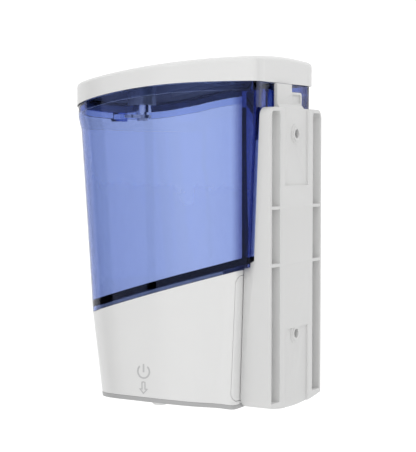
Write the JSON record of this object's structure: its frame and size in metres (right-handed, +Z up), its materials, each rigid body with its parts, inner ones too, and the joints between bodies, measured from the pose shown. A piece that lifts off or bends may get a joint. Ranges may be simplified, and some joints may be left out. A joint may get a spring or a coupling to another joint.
{
  "type": "wall mounted soap dispenser",
  "caption": "Touch-free wall dispenser: clear blue soap tank under a locking white lift-off lid, white pump housing below, on a screwed wall bracket.",
  "frame": {"origin": "half-way between the two wall screws, on the wall plane", "axes": "+Z up, -Y out of the wall towards the user, +X to the right of somebody who faces the wall"},
  "size_m": [0.1306, 0.134, 0.218],
  "materials": {
    "white_plastic": "fine satin",
    "grey_plastic": "satin",
    "blue_tank": "clear blue, polished",
    "black_rubber": "matt",
    "silicone": "matt, milky",
    "acetal": "moulded",
    "steel": "plated",
    "magnet": "sintered ferrite",
    "black_plastic": "moulded",
    "board": "solder mask",
    "dark_window": "polished, infrared-clear",
    "led_lens": "diffuse",
    "cell_jacket": "gloss",
    "chrome": "polished"
  },
  "bodies": {
    "bracket": {"wall_bracket": "white_plastic"},
    "dispenser": {"housing_shell": "white_plastic", "battery_cover": "white_plastic", "bottom_cover": "grey_plastic", "tank": "blue_tank", "tank_gasket": "black_rubber", "outlet_strainer": "white_plastic", "suction_sleeve": "silicone", "delivery_sleeve": "silicone", "idler_pin": "steel", "pump_body": "grey_plastic", "pump_cover": "grey_plastic", "pump_screws": "steel", "motor_can": "steel", "motor_cap": "black_plastic", "motor_magnets": "magnet", "pump_cradle": "white_plastic", "nozzle": "white_plastic", "check_valve": "silicone", "circuit_board": "board", "board_parts": "black_plastic", "sensor_window": "dark_window", "status_led": "led_lens", "switch_body": "black_plastic", "case_screws": "steel", "battery_box": "grey_plastic", "battery_cells": "cell_jacket", "contact_springs": "steel", "contact_plates": "steel", "sensor_emitter": "dark_window", "sensor_receiver": "dark_window"},
    "lid": {"lid_cover": "white_plastic", "lid_gasket": "silicone", "lock_barrel": "chrome"},
    "lock": {"lock_cylinder": "chrome", "lock_cam": "steel", "lock_nut": "steel"},
    "button": {"power_button": "grey_plastic"},
    "drive": {"pump_drive_gear": "acetal", "motor_rotor": "steel"},
    "idler": {"pump_idler_gear": "acetal"}
  },
  "joints": [
    {"name": "dispenser_lift", "type": "slide", "parent": "bracket", "child": "dispenser", "axis": [0, 0, 1], "range_m": [0, 0.014]},
    {"name": "lid_lift", "type": "slide", "parent": "dispenser", "child": "lid", "axis": [0, 0, 1], "range_m": [0, 0.04]},
    {"name": "key_turn", "type": "hinge", "parent": "lid", "child": "lock", "pos_m": [0, -0.11, 0.08], "axis": [0, 0, -1], "range_deg": [0, 90]},
    {"name": "button_press", "type": "slide", "parent": "dispenser", "child": "button", "axis": [0, 0, 1], "range_m": [0, 0.0012], "stiffness_N_per_m": 1200, "springref_m": -0.0008},
    {"name": "pump_drive", "type": "hinge", "parent": "dispenser", "child": "drive", "pos_m": [0, -0.091, -0.064], "axis": [1, 0, 0], "continuous": true},
    {"name": "pump_idler", "type": "hinge", "parent": "dispenser", "child": "idler", "pos_m": [0, -0.103, -0.064], "axis": [1, 0, 0], "continuous": true}
  ],
  "couplings": [
    {"joint": "pump_idler", "follows": "pump_drive", "ratio": -1}
  ]
}
